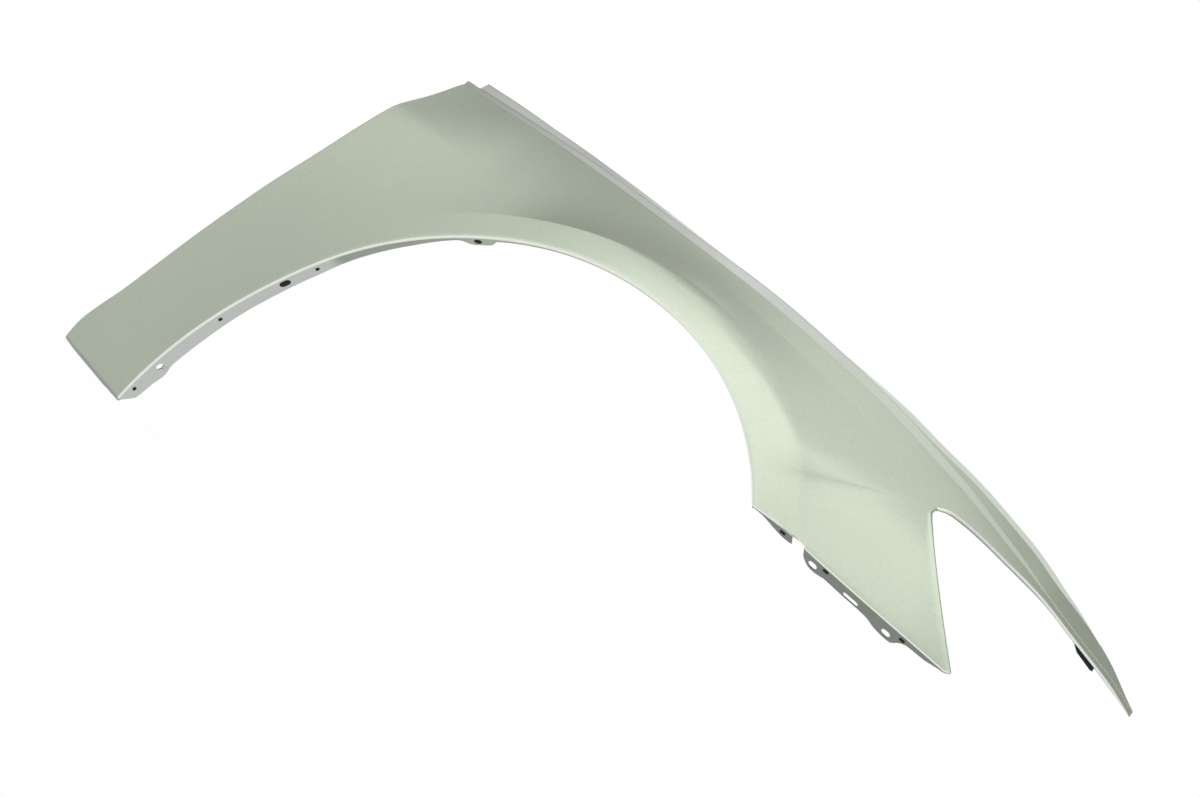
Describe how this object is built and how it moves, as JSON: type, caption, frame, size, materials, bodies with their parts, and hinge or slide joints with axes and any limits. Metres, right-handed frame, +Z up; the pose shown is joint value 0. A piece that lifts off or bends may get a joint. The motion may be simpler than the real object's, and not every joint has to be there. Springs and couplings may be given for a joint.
{
  "type": "car front fender",
  "caption": "Pressed sheet-steel front fender of a car with a flared wheel arch, a headlamp notch, folded flanges and a bolting ledge along the hood edge.",
  "frame": {"origin": "on the upper face of the rear bolt pad of the hood ledge, just ahead of its hole", "axes": "+X forward along the car, +Y inboard across the car, +Z up"},
  "size_m": [1.1094, 0.2301, 0.5154],
  "materials": {
    "paint": "pale silver-green metallic under a clear coat"
  },
  "bodies": {
    "root": {"fender_panel": "paint"}
  },
  "joints": []
}
